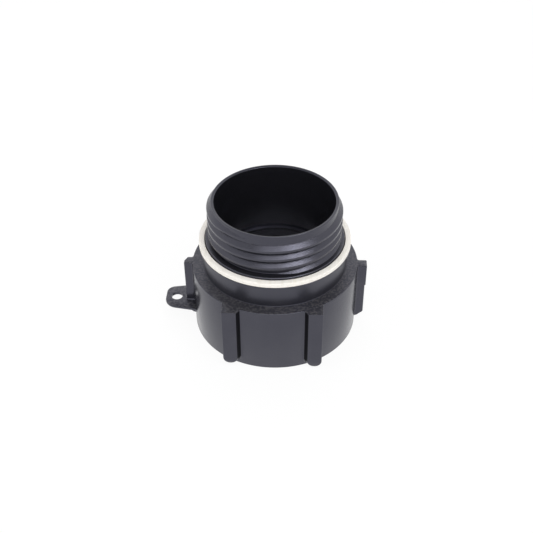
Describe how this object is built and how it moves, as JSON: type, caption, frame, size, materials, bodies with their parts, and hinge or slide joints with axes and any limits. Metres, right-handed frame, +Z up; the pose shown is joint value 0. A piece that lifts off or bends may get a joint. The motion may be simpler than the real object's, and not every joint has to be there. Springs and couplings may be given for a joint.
{
  "type": "thread adapter",
  "caption": "Moulded barrel adapter: a coarse male thread with a flat gasket on top, a wider lugged collar with a threaded socket below, and a small tether ear at the side.",
  "frame": {"origin": "middle of the whole footprint, on the plane of the collar's lower face; the thread axis stands 4.45 mm to +X of it", "axes": "+Z up along the thread axis, out of the male end; +X away from the tether ear, through the single side lug; +Y to the back"},
  "size_m": [0.0866, 0.07, 0.0607],
  "materials": {
    "black_plastic": "satin as moulded, rough on the faces across the mould's draw",
    "cream_gasket": "matt, soft",
    "black_seal": "matt, soft"
  },
  "bodies": {
    "root": {"adapter_body": "black_plastic", "flange_gasket": "cream_gasket", "socket_gasket": "black_seal"}
  },
  "joints": []
}
